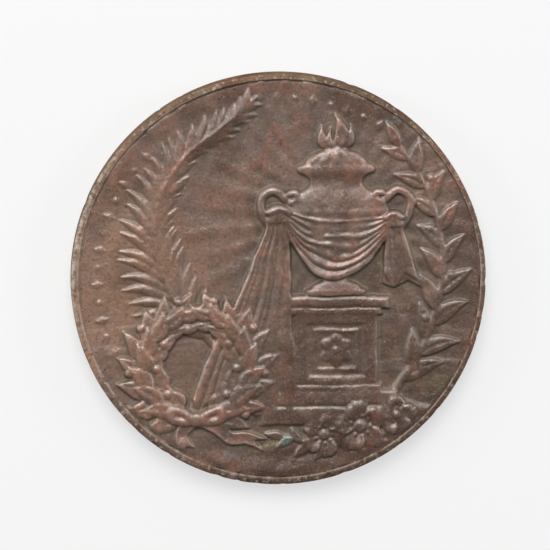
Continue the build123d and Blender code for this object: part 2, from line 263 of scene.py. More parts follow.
# Layers of colour in their order: the colour, its strength, and the masks it is laid through
LAYERS = (
    ("red_brown", 0.88, "warm"),
    ("dark_brown", 0.6, "blotch"),
    ("light_brown", 0.24, "hazy"),
    ("dark_brown", 0.7, "smoky"),
    # Painted shade, darker towards the lower right
    ("shade", 0.8, "lower_right_shade"),
    # Partly a warm tint, partly painted light at the left
    ("tan", 1.0, "left", "uneven"),
    ("red_brown", 0.1, "flecks"),
    ("olive", 0.14, "sallow"),
    ("dark_brown", 0.42, "speckle"),
    ("light_brown", 0.62, "grains"),
    ("dark_brown", 0.62, "specks"),
    # Grime in the recesses, and painted shade there and along the rim's inner edge at the top
    ("dark_brown", 0.68, "grime"),
    ("olive", 0.45, "grime", "damp"),
    # Painted shade on the rim's lower side
    ("dark_brown", 0.68, "rim", "rim_bottom_shade"),
    ("brass", 0.62, "rim", "rim_top", "brassy"),
    # Pale colour on the left of the rim: partly wear, partly painted highlight
    ("dust_and_highlight", 0.92, "rim_left_wear_and_highlight", "ragged", "brow", "slope"),
    ("dark_brown", 0.5, "rim", "soot"),
    ("dust_and_highlight", 0.5, "brow", "chips"),
    # Paler rubbed ridges: real wear, and painted highlights along the edges
    ("worn_bronze_highlight", 0.68, "rubbed"),
    ("dust_and_highlight", 0.22, "rim", "rubbed"),
    # Pale specks: partly dust, partly painted glints
    ("dust_and_highlight", 0.6, "mote"),
    ("dark_brown", 0.7, "pock"),
    ("olive", 0.55, "yellow_spot", "ragged"),
    ("crust", 0.7, "crust", "torn"),
    ("verdigris", 0.75, "green_spot", "torn"),
)

# Roughness of the plain bronze and where it differs, and scales of the motes (pale specks, partly painted
# glints), the pits and the grain
PLAIN = 0.26
ROUGHNESS = (("blotch", 0.4), ("grime", 0.6), ("rubbed", 0.24))
MOTES, PITS, GRAIN = 900, 1100, 1700

# The stage, in metres, with the lens and the sensor in millimetres
FLOOR_REACH = 1.5
KEY_PLACE = (-0.08, 0.44, 0.62)
LEFT_PLACE = (-0.7, 0.2, 0.34)
RIGHT_PLACE = (0.7, 0.16, 0.34)
RIGHT_SHARE = 0.9
SIDE_SIZE = 0.24
TARGET = (-0.00045, 0.0005, 0.0018)
LEAN_WAY = (-0.32, 0.95, 0.0)
LENS = 500
SENSOR = 36


def clamp(value):
    """A value kept from 0 to 1."""
    return np.clip(value, 0, 1)


def ease(low, high, value):
    """A smooth step from 0 at low to 1 at high."""
    share = clamp((value - low) / (high - low))
    return share * share * (3 - 2 * share)


def dome(across):
    """1 in the middle of a form, falling to 0 at its sides."""
    return clamp(1 - across**2)


def turned(x, y, turn):
    """Places seen along a heading: how far ahead, and how far to its left."""
    return x * np.cos(turn) + y * np.sin(turn), y * np.cos(turn) - x * np.sin(turn)


def around(reach, turn, centre=(0, 0)):
    """The spot at a distance from a centre."""
    return centre[0] + reach * np.cos(turn), centre[1] + reach * np.sin(turn)


def between(board, i, j, k, m, right, up):
    """Values inside the cells of a board, from columns i and k and rows j and m."""
    low = board[j, i] * (1 - right) + board[j, k] * right
    high = board[m, i] * (1 - right) + board[m, k] * right
    return low * (1 - up) + high * up


def noise(x, y, scale, seed, octaves=3):
    """Smooth lattice noise from -1 to 1."""
    total = np.zeros_like(x)
    weight, weights = 1.0, 0.0
    for octave in range(octaves):
        lattice = np.random.default_rng(seed + 17 * octave).uniform(-1, 1, (CELLS, CELLS))
        u = (x * scale * 2**octave) % CELLS
        v = (y * scale * 2**octave) % CELLS
        i, j = np.floor(u).astype(int), np.floor(v).astype(int)
        right, up = ease(0, 1, u - i), ease(0, 1, v - j)
        i, j = i % CELLS, j % CELLS
        total += weight * between(lattice, i, j, (i + 1) % CELLS, (j + 1) % CELLS, right, up)
        weights += weight
        weight *= 0.5
    return total / weights


def curve(points, steps=12):
    """A smooth line through a few points."""
    spots = np.array(points, float)
    ends = np.vstack([2 * spots[0] - spots[1], spots, 2 * spots[-1] - spots[-2]])
    line = []
    for k in range(1, len(ends) - 2):
        a, b, c, d = ends[k - 1 : k + 3]
        for t in np.linspace(0, 1, steps, endpoint=False):
            part = 2 * b + (c - a) * t + (2 * a - 5 * b + 4 * c - d) * t**2
            line.append(0.5 * (part + (3 * b - a - 3 * c + d) * t**3))
    line.append(spots[-1])
    return np.array(line)


def measured(line):
    """The runs of a line, their lengths, and the length gone at each point."""
    runs = np.diff(line, axis=0)
    lengths = np.hypot(runs[:, 0], runs[:, 1])
    return runs, lengths, np.concatenate([[0], np.cumsum(lengths)])


def at(line, share):
    """The spot at a share of a line's length, and the heading there in degrees."""
    runs, lengths, gone = measured(line)
    shares = gone / lengths.sum()
    headings = np.degrees(np.unwrap(np.arctan2(runs[:, 1], runs[:, 0])))
    spot = [np.interp(share, shares, line[:, axis]) for axis in (0, 1)]
    return spot, np.interp(share, (shares[1:] + shares[:-1]) / 2, headings)


def blurred(board, spread):
    """The board softened by a Gaussian, its spread given in steps."""
    down = np.fft.fftfreq(board.shape[0])[:, None]
    across = np.fft.rfftfreq(board.shape[1])[None, :]
    soft = np.exp(-2 * (np.pi * spread) ** 2 * (down**2 + across**2))
    return np.fft.irfft2(np.fft.rfft2(board) * soft, s=board.shape)


class Clay:
    """The board of heights."""

    def __init__(self):
        line = np.linspace(-REACH, REACH, BOARD_STEPS)
        self.step = line[1] - line[0]
        x, y = np.meshgrid(line, line)
        self.radius = np.hypot(x, y)
        self.x = x + WAVER * noise(x + 4, y + 4, 9, 3)
        self.y = y + WAVER * noise(x + 7, y + 1, 9, 4)
        self.height = np.zeros_like(x)

    def patch(self, low, high):
        """The part of the board that holds a box of places."""
        start = (np.array(low) - MARGIN + REACH) / self.step
        end = (np.array(high) + MARGIN + REACH) / self.step
        columns, rows = np.clip([start, end], 0, BOARD_STEPS).astype(int).T
        part = (slice(rows[0], rows[1] + 1), slice(columns[0], columns[1] + 1))
        return part, self.x[part], self.y[part]

    def about(self, spot, reach):
        """The part of the board about a spot, and its places from there."""
        part, x, y = self.patch(np.array(spot) - reach, np.array(spot) + reach)
        return part, x - spot[0], y - spot[1]

    def beside(self, line, reach):
        """The part of the board along a line: distance from it, share along it, and which side."""
        part, x, y = self.patch(line.min(0) - reach, line.max(0) + reach)
        runs, lengths, gone = measured(line)
        nearest = np.full(x.shape, np.inf)
        share, side = np.zeros_like(x), np.zeros_like(x)
        for k, (run, length) in enumerate(zip(runs, lengths)):
            px, py = x - line[k, 0], y - line[k, 1]
            t = clamp((px * run[0] + py * run[1]) / length**2)
            distance = np.hypot(px - t * run[0], py - t * run[1])
            closer = distance < nearest
            nearest = np.where(closer, distance, nearest)
            share = np.where(closer, (gone[k] + t * length) / gone[-1], share)
            side = np.where(closer, np.sign(run[0] * py - run[1] * px), side)
        return part, nearest, share, side

    def add(self, part, height, inside):
        """Lays clay up to a height where it stands above what is there."""
        self.put(part, height, inside & (height > self.height[part]))

    def put(self, part, height, inside):
        """Sets the clay to a height, up or down."""
        self.height[part] = np.where(inside, height, self.height[part])


clay = Clay()


def leaf(
    spot, heading, length, width, base, lift, crown,
    crease=0.3, bend=0, veins=0, belly=0.75, keel=False, roll=0,
):
    """One leaf from its foot: base, lift to the tip and crown are in millimetres."""
    part, px, py = clay.about(spot, length * 1.1)
    ahead, aside = turned(px, py, np.radians(heading))
    u = ahead / length
    v = aside / length - bend * u * (1 - u)
    along = np.clip(u, 1e-4, 1 - 1e-4)
    shape = np.sin(np.pi * along**belly) ** 0.85
    across = v / (width / length / 2 * shape)
    out = np.abs(across)
    if keel:
        form = clamp(1 - out) ** 0.8
    else:
        form = dome(across) ** 0.5 * (1 - crease * np.exp(-((across / 0.26) ** 2)))
    ribs = veins * np.sin(2 * np.pi * (along * 6 - out * 1.1)) * dome(across) * clamp(out * 4)
    height = base + lift * along + crown * form * shape**0.5 + ribs + roll * across * shape
    clay.add(part, height, (u > 0) & (u < 1) & (out < 1))


def bar(line, radius, base, height, ends=(1, 1)):
    """A round bar along a line, with its width at the ends as shares of its own."""
    line = np.array(line) if len(line) >= SMOOTH_POINTS else curve(line)
    part, distance, share, _ = clay.beside(line, radius * max(ends))
    across = distance / (radius * (ends[0] + (ends[1] - ends[0]) * share))
    clay.add(part, base + height * dome(across) ** 0.5, across < 1)


def ball(spot, radius, base, height, pit=0.0):
    """A bead or berry."""
    part, px, py = clay.about(spot, radius)
    across = np.hypot(px, py) / radius
    clay.add(part, base + height * dome(across) ** 0.5 - pit * np.exp(-((across / 0.25) ** 2)), across < 1)


def stone(box):
    """The board under a stone of the plinth, how deep inside each place is, and its middle."""
    left, right, low, high = box[0] + PLINTH_AXIS, box[1] + PLINTH_AXIS, box[2], box[3]
    part, x, y = clay.patch((left, low), (right, high))
    inset = np.minimum(np.minimum(x - left, right - x), np.minimum(y - low, high - y))
    return part, inset, ((left + right) / 2, (low + high) / 2)


def lay_field():
    """The field: a soft uneven ground, faint rays behind the urn, hills and a foreground."""
    x, y = clay.x, clay.y
    clay.height[:] = 0.1 * noise(x + 3, y + 3, 3.6, 5) + 0.03 * noise(x + 9, y * 1.6 + 2, 13, 8)
    px, py = x - RAY_CENTRE[0], y - RAY_CENTRE[1]
    reach = np.hypot(px, py)
    turns = np.arctan2(py, px) / (2 * np.pi) * RAYS
    ray = 1 - np.abs(turns % 1 * 2 - 1)
    longer = (np.floor(turns) % 2) * 0.18
    fade = ease(0.26, 0.4, reach) * (1 - ease(0.52 + longer, 0.8 + longer, reach + 0.2 * (1 - ray)))
    clay.height += 0.085 * ease(0.1, 0.9, ray) * fade * (y > -0.3)
    far = -0.2 + 0.045 * np.sin(3.3 * x + 1.0) + 0.02 * np.sin(9 * x + 2)
    near = -0.36 + 0.05 * np.sin(2.6 * x + 2.9) + 0.015 * np.sin(11 * x)
    far_rise, near_rise = ease(0.0, 0.03, far - y), ease(0.0, 0.025, near - y)
    clay.height += 0.07 * far_rise * (1 - 0.5 * ease(0, 0.2, far - y)) + 0.09 * near_rise
    clay.height += 0.06 * noise(x * 0.7 + 1, y * 5 + 3, 6, 21) * near_rise
    edge = -0.63 + 0.03 * np.sin(4.0 * x + 0.5) + 0.02 * np.sin(9.5 * x + 1.3) + 0.01 * np.sin(23 * x)
    clay.height += ease(0, 0.035, edge - y) * (0.25 + 0.13 * noise(x + 5, y * 2.6 + 1, 5, 31, 4))


def model_border():
    """A faint border of lozenges and beads along the rim, half rubbed away."""
    for count, degrees in enumerate(BORDER_DEGREES):
        turn = np.radians(degrees)
        part, px, py = clay.about(around(BORDER_RADIUS, turn), 0.04)
        ahead, aside = turned(px, py, turn)
        if count % 2:
            across = np.hypot(px, py) / 0.014
        else:
            across = np.abs(ahead) / 0.036 + np.abs(aside) / 0.02
        rubbed = 0.75 + 0.5 * noise(clay.x[part], clay.y[part], 6, 57, 2)
        clay.put(part, clay.height[part] + 0.26 * rubbed * dome(across) ** 0.35, across < 1)


def model_palm():
    """The palm frond: pairs of keeled leaflets along a bent midrib."""
    chance = np.random.default_rng(11)
    line = curve(MIDRIB, 16)
    for pair in range(PAIRS):
        share = 0.06 + 0.93 * pair / (PAIRS - 1)
        spot, way = at(line, share)
        length = 0.34 - 0.18 * share
        if share < 0.4:
            length *= 0.55 + 0.45 * np.sin(np.pi * min(1, share * 1.5 + 0.15))
        angle = 44 - 24 * share
        for side in (1, -1):
            heading = way + side * (angle + chance.uniform(-3, 3))
            size = length * chance.uniform(0.93, 1.05)
            leaf(spot, heading, size, 0.062, 0.3, -0.12, 0.26, bend=-side * 0.5, keel=True, belly=0.66)
    spot, way = at(line, 1.0)
    leaf(spot, way, 0.15, 0.05, 0.19, 0.1, 0.2, keel=True)
    bar(line, 0.017, 0.3, 0.32, ends=(1.25, 0.5))


def model_sprig(line, leaves, length, width, base, crown, seed, berries=True):
    """A leafy stem with leaves in turn on its two sides."""
    chance = np.random.default_rng(seed)
    line = curve(line, 16)
    bar(line, 0.016, base + 0.1, 0.3, ends=(1.3, 0.6))
    for count in range(leaves):
        share = 0.07 + 0.93 * count / (leaves - 1)
        side = (1 if count % 2 else -1) if count < leaves - 1 else 0
        spot, way = at(line, share)
        size = (1 - 0.32 * share) * chance.uniform(0.92, 1.06)
        heading = way + side * (38 + chance.uniform(-6, 6))
        if berries and count % 3 == 1:
            fruit = around(0.052, np.radians(way - side * 62), spot)
            bar((spot, fruit), 0.006, base, 0.2)
            ball(fruit, 0.021, base + 0.12, 0.38)
        form = {"crease": 0.48, "veins": 0.024, "bend": -side * chance.uniform(0.15, 0.5)}
        foot, lift = base + 0.1 + 0.05 * (count % 3), chance.uniform(0, 0.16)
        form["roll"] = chance.uniform(-0.06, 0.06)
        leaf(spot, heading, length * size, width * size, foot, lift, crown, **form)


def model_plinth():
    """The plinth: courses, die and a panel with a rosette."""
    for *box, height, drop, bevel in COURSES:
        part, inset, _ = stone(box)
        worn = 0.02 * noise(clay.x[part], clay.y[part], 20, 61, 2)
        clay.add(part, height + worn - drop * (1 - ease(0, bevel, inset)), inset > 0)
    part, inset, middle = stone(PANEL)
    ledge = ease(0.028, 0.038, inset) * (1 - ease(0.046, 0.058, inset))
    clay.put(part, 0.71 - 0.2 * ease(0, 0.014, inset) + 0.16 * ledge, inset > 0)
    for petal in range(6):
        leaf(middle, 60 * petal + 30, 0.088, 0.066, 0.5, 0.04, 0.3, crease=0.25, belly=1.15)
    ball(middle, 0.02, 0.62, 0.3)


def model_urn():
    """The urn: gadrooned bowl, beaded shoulder, fluted lid, flame and two handles."""
    levels, halves = np.array(URN).T
    part, x, y = clay.patch((URN_AXIS - 0.3, levels[0]), (URN_AXIS + 0.3, levels[-1]))
    half = np.interp(y, levels, halves)
    across = (x - URN_AXIS) / half
    body = dome(across)
    height = 0.58 + 1.02 * (half / 0.2713) ** 0.45 * body**0.5
    turn = np.arcsin(np.clip(across, -1, 1))
    lobe = np.abs(np.cos(turn * 8))
    bowl = ease(0.075, 0.105, y) * (1 - ease(0.245, 0.268, y + 0.014 * (1 - lobe)))
    height += bowl * 0.17 * (lobe - 0.6) * body**0.3
    height += 0.09 * np.abs(np.sin(turn * 13)) ** 0.6 * dome((y - 0.338) / 0.016) ** 0.5
    lid = ease(0.575, 0.588, y) * (1 - ease(0.632, 0.652, y))
    height += lid * 0.16 * (np.abs(np.cos(turn * 7)) - 0.5) * body**0.3
    clay.add(part, height, (np.abs(across) < 1) & (y > levels[0]) & (y < levels[-1]))
    for offset, heading, length, width, base in FLAMES:
        spot = (URN_AXIS + offset, 0.655)
        bend = 0.8 if heading > 92 else -0.8
        leaf(spot, heading, length, width, base, 0.12, 0.42, crease=0.12, bend=bend, belly=0.62)
    for side in (-1, 1):
        bar([(URN_AXIS + side * px, py) for px, py in HANDLE], 0.021, 0.36, 0.56, ends=(1.1, 0.85))
        bar([(URN_AXIS + side * px, py) for px, py in SCROLL], 0.017, 0.9, 0.3)


def fold_parts(place, edges):
    """For each fold between its edges: its number, the share across it, and where it is."""
    for k in range(len(edges) - 1):
        share = (place - edges[k]) / (edges[k + 1] - edges[k])
        yield k, clamp(share), (share >= 0) & (share < 1)


def model_width(edges, folds, base, swell, hem, seed):
    """A hanging width of cloth: each fold rises slowly and turns under quickly."""
    levels, lefts, rights = np.array(edges)[::-1].T
    part, x, y = clay.patch((lefts.min(), levels[0]), (rights.max(), levels[-1]))
    left, right = np.interp(y, levels, lefts), np.interp(y, levels, rights)
    share = (x - left) / (right - left)
    down = (levels[-1] - y) / (levels[-1] - levels[0])
    drift = SWAY * np.sin(7 * down + 5 * share) * down + 0.5 * SWAY * noise(x, y, 5.0, seed, 2)
    place = clamp(share)
    place = clamp(place + drift * np.sin(np.pi * place) * 2)
    form = np.zeros_like(x)
    for k, lap, here in fold_parts(place, folds):
        rise = np.sin(np.pi * lap ** (1.25 if k % 2 else 0.8)) ** 0.55
        form = np.where(here, rise * (0.8 + 0.2 * np.cos(2.3 * k)), form)
    height = base[0] + base[1] * down + (swell[0] + swell[1] * down) * form
    height += 0.02 * noise(x * 2, y, 9.0, seed + 3, 2)
    inside = (share > 0) & (share < 1) & (y < levels[-1]) & (y > np.interp(place, folds, hem))
    clay.add(part, height, inside)


def model_swag():
    """The swag: folds that hang from knot to knot and lap over each other downwards."""
    (x0, y0), (x1, y1) = LEFT_KNOT, RIGHT_KNOT
    part, x, y = clay.patch((x0, -0.04), (x1, 0.4))
    t = clamp((x - x0) / (x1 - x0))
    chord = y0 + (y1 - y0) * t
    hang = 4 * t * (1 - t) * (1 + 0.06 * np.sin(t * 8))
    top = chord + 0.012 - 0.028 * hang
    bottom = chord - 0.014 - 0.335 * hang
    place = (top - y) / (top - bottom)
    inside = (place > 0) & (place < 1) & (x > x0) & (x < x1)
    place = clamp(place)
    waver = 0.016 * np.sin(11 * t + 7 * place) + 0.02 * noise(x, y, 5, 77, 2)
    place = clamp(place + waver * np.sin(np.pi * place) * 2)
    belly = np.sin(np.pi * t) ** 0.5
    form = np.zeros_like(x)
    for k, lap, here in fold_parts(place, SWAG_FOLDS):
        ridge = np.sin(np.pi * lap**1.6) ** 0.75 * (0.75 + 0.25 * np.sin(2.2 * k + 5 * t))
        form = np.where(here, ridge + 0.25 * lap, form)
    clay.add(part, 0.94 + 0.4 * belly - 0.1 * place + (0.16 + 0.22 * belly) * form, inside)


def model_cloth():
    """The cloth: a swag across the urn, a long fall, a short end and two knots."""
    model_swag()
    for layer in CLOTHS:
        model_width(*layer)
    for (kx, ky), size in ((LEFT_KNOT, 0.05), (RIGHT_KNOT, 0.043)):
        for strand in range(5):
            lean = np.cos(np.radians(200 + strand * 35))
            strands = (
                (kx - 0.6 * size * lean, ky + 0.3 * size),
                (kx + 0.35 * size * lean, ky - 0.1 * size * (strand / 5)),
                (kx + 0.9 * size * lean, ky - 0.95 * size),
            )
            bar(strands, size * 0.34, 0.92, 0.4 + 0.05 * (strand % 2), ends=(0.8, 1.0))
        band = ((kx - size, ky - 0.15 * size), (kx, ky + 0.32 * size), (kx + size, ky - 0.1 * size))
        bar(band, size * 0.46, 1.02, 0.52, ends=(0.8, 0.8))


def model_poppy(spot, radius, base, seed):
    """A poppy: cupped petals that lap round, a ring of stamens and a round heart."""
    chance = np.random.default_rng(seed)
    part, px, py = clay.about(spot, radius)
    turn = np.arctan2(py, px) / (2 * np.pi) * PETALS + chance.uniform(0, 1)
    place = turn % 1
    frill = 0.02 * np.sin(2 * np.pi * turn * 4)
    across = np.hypot(px, py) / radius / (0.7 + 0.3 * np.sin(np.pi * place) ** 0.55 + frill)
    cup = ease(0.2, 0.85, across)
    lip = clamp(1 - across**7) ** 0.5
    pleat = 0.035 * np.cos(2 * np.pi * place * 4) * cup
    clay.add(part, base + lip * (0.16 + 0.3 * cup + 0.42 * (place - 0.5) * cup + pleat), across < 1)
    for stamen in range(STAMENS):
        ball(around(0.38 * radius, 2 * np.pi * stamen / STAMENS, spot), 0.075 * radius, base + 0.2, 0.22)
    ball(spot, 0.23 * radius, base + 0.16, 0.46, pit=0.12)


def model_wreath():
    """The wreath: two branches of leaves and berries that rise from the bow."""
    chance = np.random.default_rng(5)
    ring = around(RING, np.linspace(0, 2 * np.pi, 60), WREATH)
    bar(np.stack(ring, 1), 0.05, 0.5, 0.4)
    for cluster in range(CLUSTERS):
        grown = cluster / (CLUSTERS - 1)
        size = 1 - 0.22 * grown**2
        for side in (1, -1):
            place = -90 + side * (16 + 140 * grown)
            for offset, lead in ((0.076, 9), (-0.066, 11)) * (cluster % 2):
                spot = around(RING + offset, np.radians(place + side * lead), WREATH)
                ball(spot, 0.021, 0.78 + 0.25 * ease(-0.4, -0.26, spot[0]), 0.42)
            for offset, lead, lean, length, width, lift, base in CLUSTER_LEAVES:
                spot = around(RING + offset, np.radians(place + side * lead), WREATH)
                heading = place + side * (90 - lean) + chance.uniform(-6, 6)
                grow = size * chance.uniform(0.94, 1.05)
                raised = 0.3 * ease(-0.4, -0.26, spot[0])
                lift *= 1 - 0.5 * raised
                form = {"crease": 0.42, "veins": 0.024, "bend": 0.5 * side}
                form["roll"] = 0.07 * chance.uniform(-1, 1)
                leaf(spot, heading, length * grow, width * grow, base + raised, lift, 0.34, **form)


def model_bow():
    """The bow under the wreath, with two loops, a knot and two rippling ends cut to a notch."""
    cx, cy = BOW
    for end in BOW_ENDS:
        line = curve([(cx + px, cy + py) for px, py in end])
        part, distance, share, side = clay.beside(line, RIBBON)
        across = distance / RIBBON
        out = across * side
        hem = 0.62 + 0.38 * clamp(1 - np.abs(np.abs(out) - 0.8) / 0.2) - 0.14 * out
        cut = share < 0.995 - 0.16 * (1 - np.abs(out)) * (share > 0.5)
        clay.add(part, 0.62 + 0.1 * np.sin(9 * share) + 0.42 * hem, (across < 1) & cut)
    for side in (-1, 1):
        part, px, py = clay.about((cx + side * 0.076, cy + 0.015), 0.1)
        ahead, aside = turned(px, py, np.radians(18 * side))
        u = ahead / 0.086
        v = aside / (0.046 + 0.012 * side * u)
        across = np.hypot(u, v)
        hollow = 0.42 * np.exp(-(((u - side * 0.1) / 0.38) ** 2) - (v / 0.32) ** 2)
        pleat = 0.05 * np.cos(v * 7) * ease(0.2, 0.9, -side * u)
        clay.add(part, 1.12 + 0.55 * dome(across) ** 0.5 - hollow + pleat, across < 1)
    ball(BOW, 0.036, 1.26, 0.48)


def finished_relief(softness, wear, scale):
    """The relief softened and worn, and maps of its worn ridges and painted highlights, of its grime and
    painted shade, and of its ruddy places.
    """
    unit = clay.step * FIELD_RADIUS
    x, y = clay.x, clay.y
    relief = clay.height * scale
    relief += (np.minimum(relief, 0.24) - relief) * ease(0.968, 0.994, clay.radius)
    relief = blurred(relief, softness / unit)
    ridges = np.clip(relief - blurred(relief, 0.3 / unit), 0, None)
    relief = relief - wear * ridges * (1 + 0.9 * noise(x, y, 17, 87, 2))
    raised = ease(0.12, 0.45, relief)
    relief = relief + 0.026 * raised * (1.4 - 3 * np.abs(noise(x, y, 14, 83)))
    tooled = noise(x, y, 44, 91, 2) * 0.009 + noise(x, y, 15, 95, 2) * 0.022
    hatched = 0 * relief
    for turn, seed in ((0.6, 101), (-0.4, 103), (1.5, 107)):
        along, across = turned(x, y, turn)
        here = ease(0.05, 0.35, noise(x, y, 3.5, seed + 1, 2))
        hatched += here * noise(along * 0.22, across, 46.0, seed, 1)
    relief = relief + tooled + 0.016 * hatched + 0.12 * ease(0.9, 1.0, clay.radius)
    fine = relief - blurred(relief, FINE_WIDTH / unit)
    broad = relief - blurred(relief, BROAD_WIDTH / unit)
    uneven = 0.7 + 0.3 * noise(x, y, 2, 51, 2)
    # The groove inside the rim is cut in and also marked dark, most at the top: painted shade under the rim's
    # inner edge
    groove = ease(0.99, 0.997, clay.radius) * uneven * ease(-0.3, 0.6, y)
    relief = relief - 0.08 * groove
    wide = relief - blurred(relief, WIDE_WIDTH / unit)
    # Ridges are marked for rubbed wear and painted highlights; recesses are marked for grime and painted
    # shade
    worn = clamp(fine * 4.2 + broad - 0.16)
    grime = np.maximum(clamp(-fine * 7.0 - broad - 0.05), groove)
    ruddy = clamp(0.42 + broad * 1.2 + wide * 0.8)
    return relief, {"worn": worn, "grime": grime, "ruddy": ruddy, "rim": 0 * ruddy}


def read_board(board, x, y):
    """The board's value at any places, between its steps."""
    u, v = [np.clip((place + REACH) / clay.step, 0, BOARD_STEPS - 1.001) for place in (x, y)]
    i, j = u.astype(int), v.astype(int)
    return between(board, i, j, i + 1, j + 1, u - i, v - j)


def round_off(a, b):
    """Moves a place on a square to its like on a disc, with rings of the square made circles."""
    if abs(a) >= abs(b):
        return around(a, np.pi / 4 * b / (a or 1))
    return around(b, np.pi / 2 - np.pi / 4 * a / b)


def field_edge(turn):
    """Distance from the medal's centre to the edge of the field."""
    ahead, aside = turned(*FIELD_CENTRE, turn)
    return ahead + np.sqrt(FIELD_RADIUS**2 - aside**2)


def strike(sizes):
    """The medal's mesh, in millimetres, and its marks by vertex."""
    relief, maps = finished_relief(sizes.softness, sizes.wear, sizes.relief_scale)
    bm = bmesh.new()
    bmesh.ops.create_grid(bm, x_segments=OBVERSE_CELLS, y_segments=OBVERSE_CELLS, size=1)
    for vert in bm.verts:
        vert.co.x, vert.co.y = round_off(vert.co.x, vert.co.y)
    slope = np.hypot(*np.gradient(relief))
    busy = blurred(slope + 3 * np.abs(relief - blurred(relief, 4)), 3)
    busy = busy * (1 - ease(0.972, 0.978, clay.radius))
    faces = list(bm.faces)
    middles = np.array([face.calc_center_median()[:2] for face in faces])
    chosen = np.argsort(-read_board(busy, *middles.T))[: int(FINE_SHARE * len(faces))]
    edges = {edge for index in chosen for edge in faces[index].edges}
    bmesh.ops.subdivide_edges(bm, edges=list(edges), cuts=1, use_grid_fill=True)
    spots = np.array([vert.co[:2] for vert in bm.verts])
    marks = {name: list(read_board(board, *spots.T)) for name, board in maps.items()}
    for vert, (x, y), rise in zip(bm.verts, spots, read_board(relief, *spots.T)):
        vert.co = (FIELD_CENTRE[0] + x * FIELD_RADIUS, FIELD_CENTRE[1] + y * FIELD_RADIUS, FIELD_LEVEL + rise)
    rim = [edge for edge in bm.edges if edge.is_boundary]
    turns = np.linspace(-np.pi, np.pi, RIM_TURNS)
    brink = FIELD_LEVEL + read_board(relief, *around(0.998, turns))
    for share, short, level, wear, dirt_and_shade in RIM_RINGS:
        made = bmesh.ops.extrude_edge_only(bm, edges=rim)["geom"]
        rim = [item for item in made if isinstance(item, bmesh.types.BMEdge)]
        for vert in [item for item in made if isinstance(item, bmesh.types.BMVert)]:
            turn = np.arctan2(vert.co.y, vert.co.x)
            radius = RADIUS - short - share * (RADIUS - field_edge(turn))
            # Towards the rim's top the dirt mark is stronger, as painted shade, and the wear mark weaker, so
            # that painted highlights fall on the lower rim
            upper = ease(-0.1, 0.7, np.sin(turn))
            lip = max(level, np.interp(turn, turns, brink)) if share > 0.85 else level
            vert.co = (*around(radius, turn), min(lip, RIM_LEVEL))
            values = (wear * (1 - 0.7 * upper), dirt_and_shade * (0.2 + 0.8 * upper), 0.45, 1.0)
            for name, value in zip(("worn", "grime", "ruddy", "rim"), values):
                marks[name].append(value)
    bmesh.ops.contextual_create(bm, geom=rim)
    bmesh.ops.recalc_face_normals(bm, faces=bm.faces)
    return bm, marks


def nick_rim(bm, count, rims):
    """Small dents and a slight waver round the rim."""
    chance = np.random.default_rng(23)
    ranges = ((-np.pi, np.pi), (0.006, 0.022), (0.03, 0.12), (-0.4, 1.0))
    places, widths, depths, levels = [chance.uniform(low, high, count) for low, high in ranges]
    wavers = [(chance.uniform(0, 6.28), k, chance.uniform(0.4, 1.0) / k) for k in (2, 3, 5, 8, 13, 21)]
    for vert, rim in zip(bm.verts, rims):
        radius = np.hypot(vert.co.x, vert.co.y)
        if rim < 0.5 or vert.co.z < 0.02 and radius < RADIUS - 0.5:
            continue
        turn = np.arctan2(vert.co.y, vert.co.x)
        top = ease(1.0, RIM_LEVEL, vert.co.z)
        near = np.exp(-(((turn - places) / widths) ** 2))
        dent = np.sum(near * depths * np.where(levels > 0, top, 1 - 0.6 * top))
        waver = sum(size * np.sin(k * turn + start) for start, k, size in wavers)
        outer = 0.012 * (1 + waver) * ease(RADIUS - 0.6, RADIUS - 0.3, radius)
        radius -= dent * ease(RADIUS - 0.7, RADIUS, radius) + outer
        vert.co.z -= 0.6 * dent * top + 0.012 * waver * top
        vert.co.x, vert.co.y = around(radius, turn)


def fill(tree, node, values):
    """Sets the sockets of a node, or links them to those of other nodes."""
    for name, value in values.items():
        if isinstance(value, NodeSocket):
            tree.links.new(value, node.inputs[name])
        else:
            node.inputs[name].default_value = value


class Nodes:
    """A tree of shader nodes, and the coordinates of its noise and stains."""

    def __init__(self, owner, coords):
        owner.use_nodes = True
        self.tree = owner.node_tree
        self.coords = self.add("TexCoord").outputs[coords]

    def add(self, kind, values=None, **settings):
        """A node with its settings and the values of its sockets."""
        made = self.tree.nodes.new("ShaderNode" + kind)
        for name, value in settings.items():
            setattr(made, name, value)
        fill(self.tree, made, values or {})
        return made

    def times(self, *values):
        """The product of sockets and numbers."""
        result = values[0]
        for value in values[1:]:
            result = self.add("Math", {0: result, 1: value}, operation="MULTIPLY").outputs[0]
        return result

    def plus(self, first, second):
        """The sum of two sockets or numbers, kept between 0 and 1."""
        return self.add("Math", {0: first, 1: second}, operation="ADD", use_clamp=True).outputs[0]

    def tint(self, share, under, over, mode="MIX"):
        """One colour laid over another by a share."""
        values = {0: share, 6: under, 7: over}
        return self.add("Mix", values, data_type="RGBA", blend_type=mode).outputs[2]

    def ramp(self, value, low, high):
        """A value stretched to run smoothly from 0 at low to 1 at high."""
        spread = {"Value": value, "From Min": low, "From Max": high}
        return self.add("MapRange", spread, interpolation_type="SMOOTHSTEP").outputs["Result"]

    def cloud(self, scale, detail, rough, distortion=0.0):
        """Noise as it comes."""
        values = {"Vector": self.coords, "Scale": scale, "Detail": detail}
        values.update({"Roughness": rough, "Distortion": distortion})
        return self.add("TexNoise", values).outputs["Fac"]

    def mottle(self, scale, detail, low, high, distortion=0.0):
        """Noise stretched to run from 0 to 1 between two levels."""
        return self.ramp(self.cloud(scale, detail, 0.6, distortion), low, high)

    def cells(self, scale):
        """Scattered points, with the distance to the nearest and its own colour."""
        return self.add("TexVoronoi", {"Vector": self.coords, "Scale": scale, "Randomness": 1.0})

    def stain(self, centre, inner, outer, coords=None):
        """1 at a spot, falling to 0 at a distance."""
        ends = {0: self.coords if coords is None else coords, 1: centre}
        distance = self.add("VectorMath", ends, operation="DISTANCE").outputs["Value"]
        return self.ramp(distance, outer, inner)


